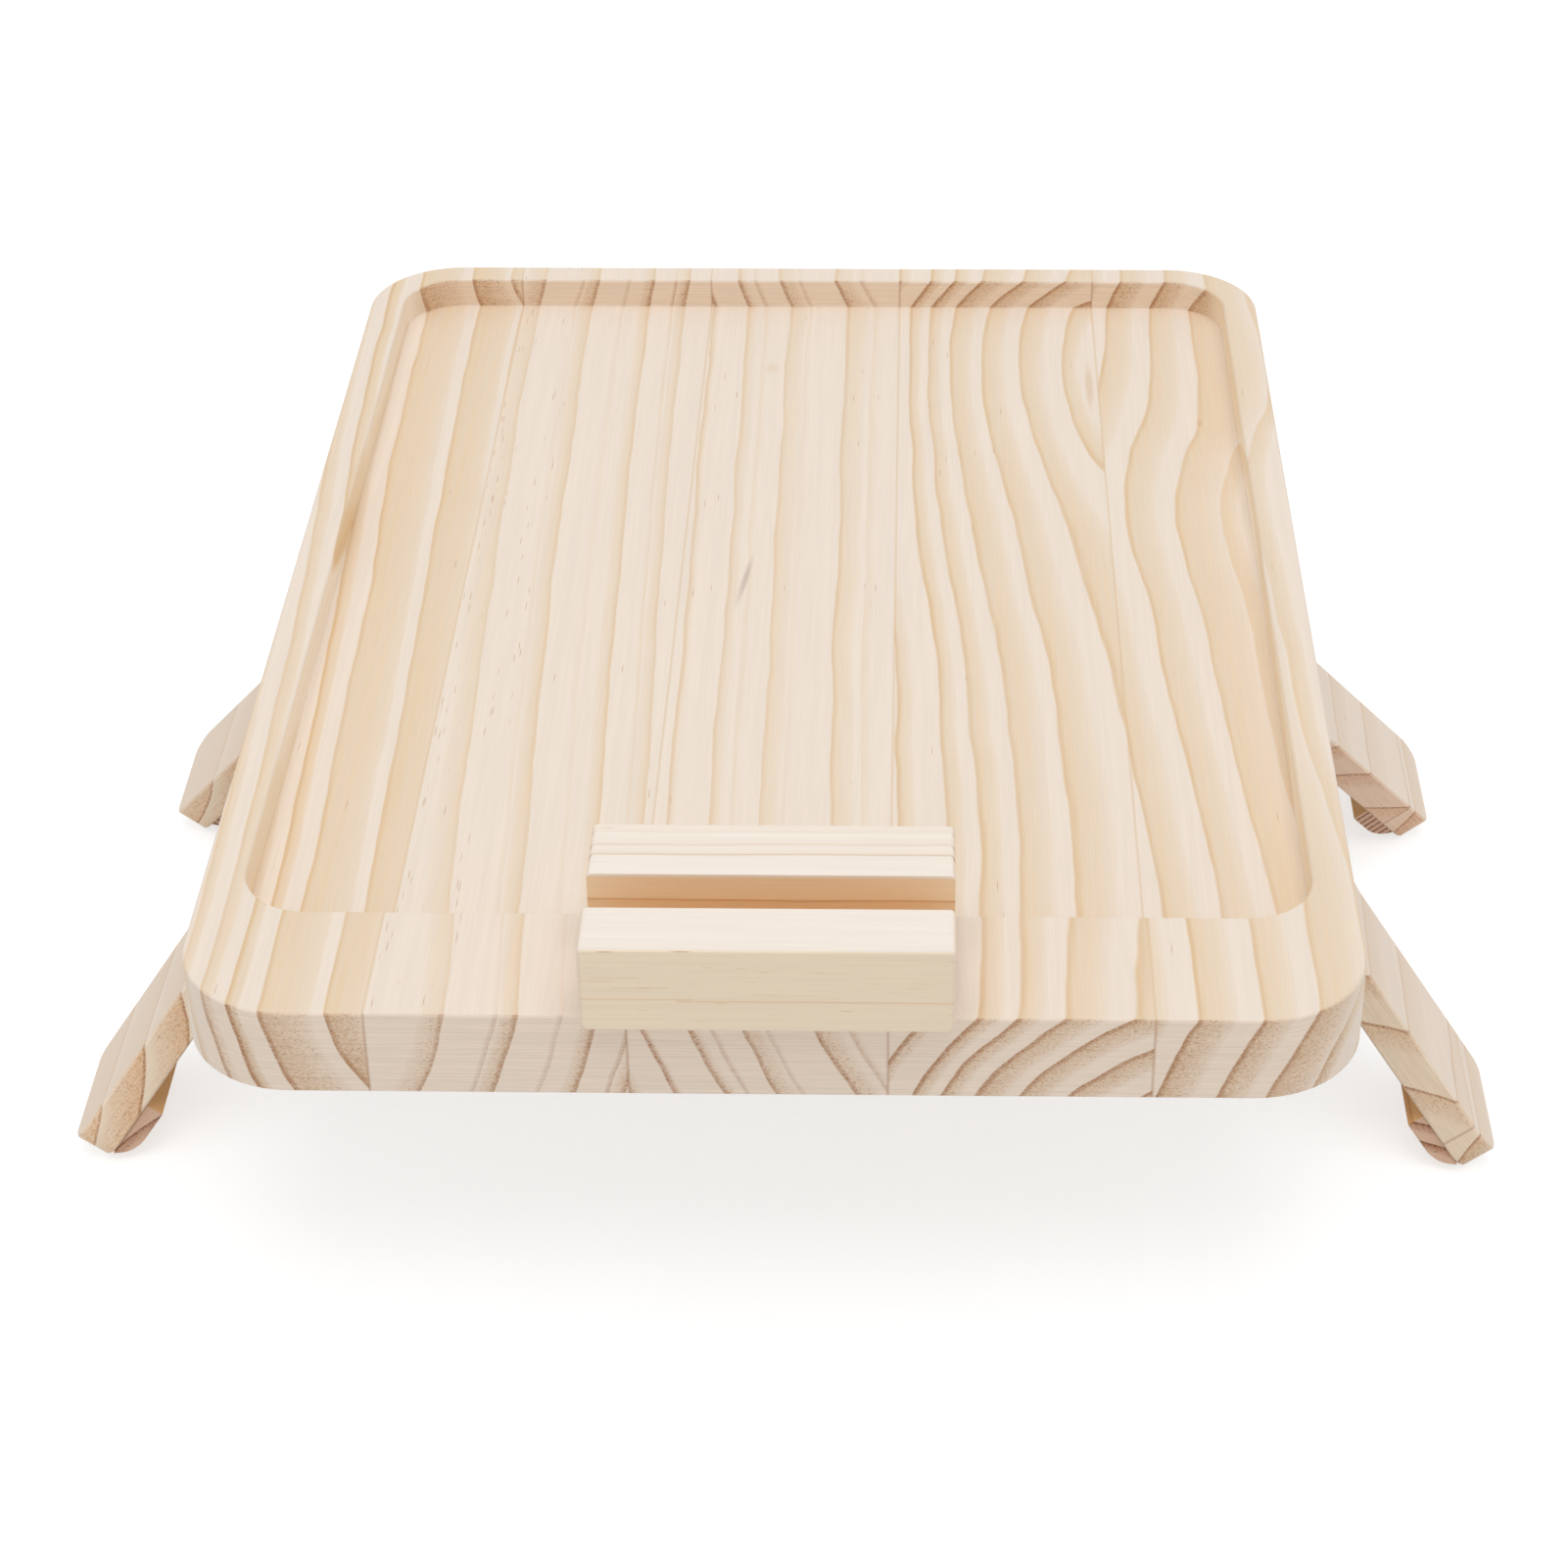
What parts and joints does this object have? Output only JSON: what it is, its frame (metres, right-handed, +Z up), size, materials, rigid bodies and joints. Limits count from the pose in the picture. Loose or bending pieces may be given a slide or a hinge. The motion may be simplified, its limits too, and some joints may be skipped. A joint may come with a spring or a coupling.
{
  "type": "sofa arm tray table",
  "caption": "Pine tray with a milled recess that sits over a sofa arm on two folding splayed wings, with a swivelling slotted phone holder.",
  "frame": {"origin": "on the surface that the leg tips stand on, under the middle of the outline", "axes": "+Y along the tray away from the phone holder, +X to the right seen from the holder's end, +Z up"},
  "size_m": [0.3912, 0.4274, 0.1237],
  "materials": {
    "tray_pine": "fine sanded, clear matt",
    "wing_pine": "fine sanded, clear matt",
    "grip_pine": "sawn end grain, clear matt",
    "holder_pine": "fine sanded, clear matt",
    "zinc_steel": "bright zinc plated"
  },
  "bodies": {
    "tray": {"tray_stave_1": "tray_pine", "tray_stave_2": "tray_pine", "tray_stave_3": "tray_pine", "tray_stave_4": "tray_pine", "tray_stave_5": "tray_pine", "holder_spacer_washer": "zinc_steel", "pivot_screw_washer": "zinc_steel", "right_front_hinge_tray_leaf": "zinc_steel", "right_front_hinge_pin": "zinc_steel", "right_front_tray_screw_1": "zinc_steel", "right_front_tray_screw_2": "zinc_steel", "right_rear_hinge_tray_leaf": "zinc_steel", "right_rear_hinge_pin": "zinc_steel", "right_rear_tray_screw_1": "zinc_steel", "right_rear_tray_screw_2": "zinc_steel", "left_front_hinge_tray_leaf": "zinc_steel", "left_front_hinge_pin": "zinc_steel", "left_front_tray_screw_1": "zinc_steel", "left_front_tray_screw_2": "zinc_steel", "left_rear_hinge_tray_leaf": "zinc_steel", "left_rear_hinge_pin": "zinc_steel", "left_rear_tray_screw_1": "zinc_steel", "left_rear_tray_screw_2": "zinc_steel"},
    "right_wing": {"right_wing": "wing_pine", "right_front_grip_block": "grip_pine", "right_rear_grip_block": "grip_pine", "right_front_hinge_wing_leaf": "zinc_steel", "right_front_wing_screw_1": "zinc_steel", "right_front_wing_screw_2": "zinc_steel", "right_rear_hinge_wing_leaf": "zinc_steel", "right_rear_wing_screw_1": "zinc_steel", "right_rear_wing_screw_2": "zinc_steel"},
    "left_wing": {"left_wing": "wing_pine", "left_front_grip_block": "grip_pine", "left_rear_grip_block": "grip_pine", "left_front_hinge_wing_leaf": "zinc_steel", "left_front_wing_screw_1": "zinc_steel", "left_front_wing_screw_2": "zinc_steel", "left_rear_hinge_wing_leaf": "zinc_steel", "left_rear_wing_screw_1": "zinc_steel", "left_rear_wing_screw_2": "zinc_steel"},
    "phone_holder": {"phone_holder": "holder_pine", "pivot_screw": "zinc_steel"}
  },
  "joints": [
    {"name": "right_wing_fold", "type": "hinge", "parent": "tray", "child": "right_wing", "pos_m": [0.12919, -0.0489, 0.06924], "axis": [0, 1, 0], "range_deg": [0, 128]},
    {"name": "left_wing_fold", "type": "hinge", "parent": "tray", "child": "left_wing", "pos_m": [-0.12919, -0.0489, 0.06924], "axis": [0, -1, 0], "range_deg": [0, 128]},
    {"name": "holder_swivel", "type": "hinge", "parent": "tray", "child": "phone_holder", "pos_m": [0, -0.187, 0.09834], "axis": [0, 0, 1], "continuous": true}
  ]
}
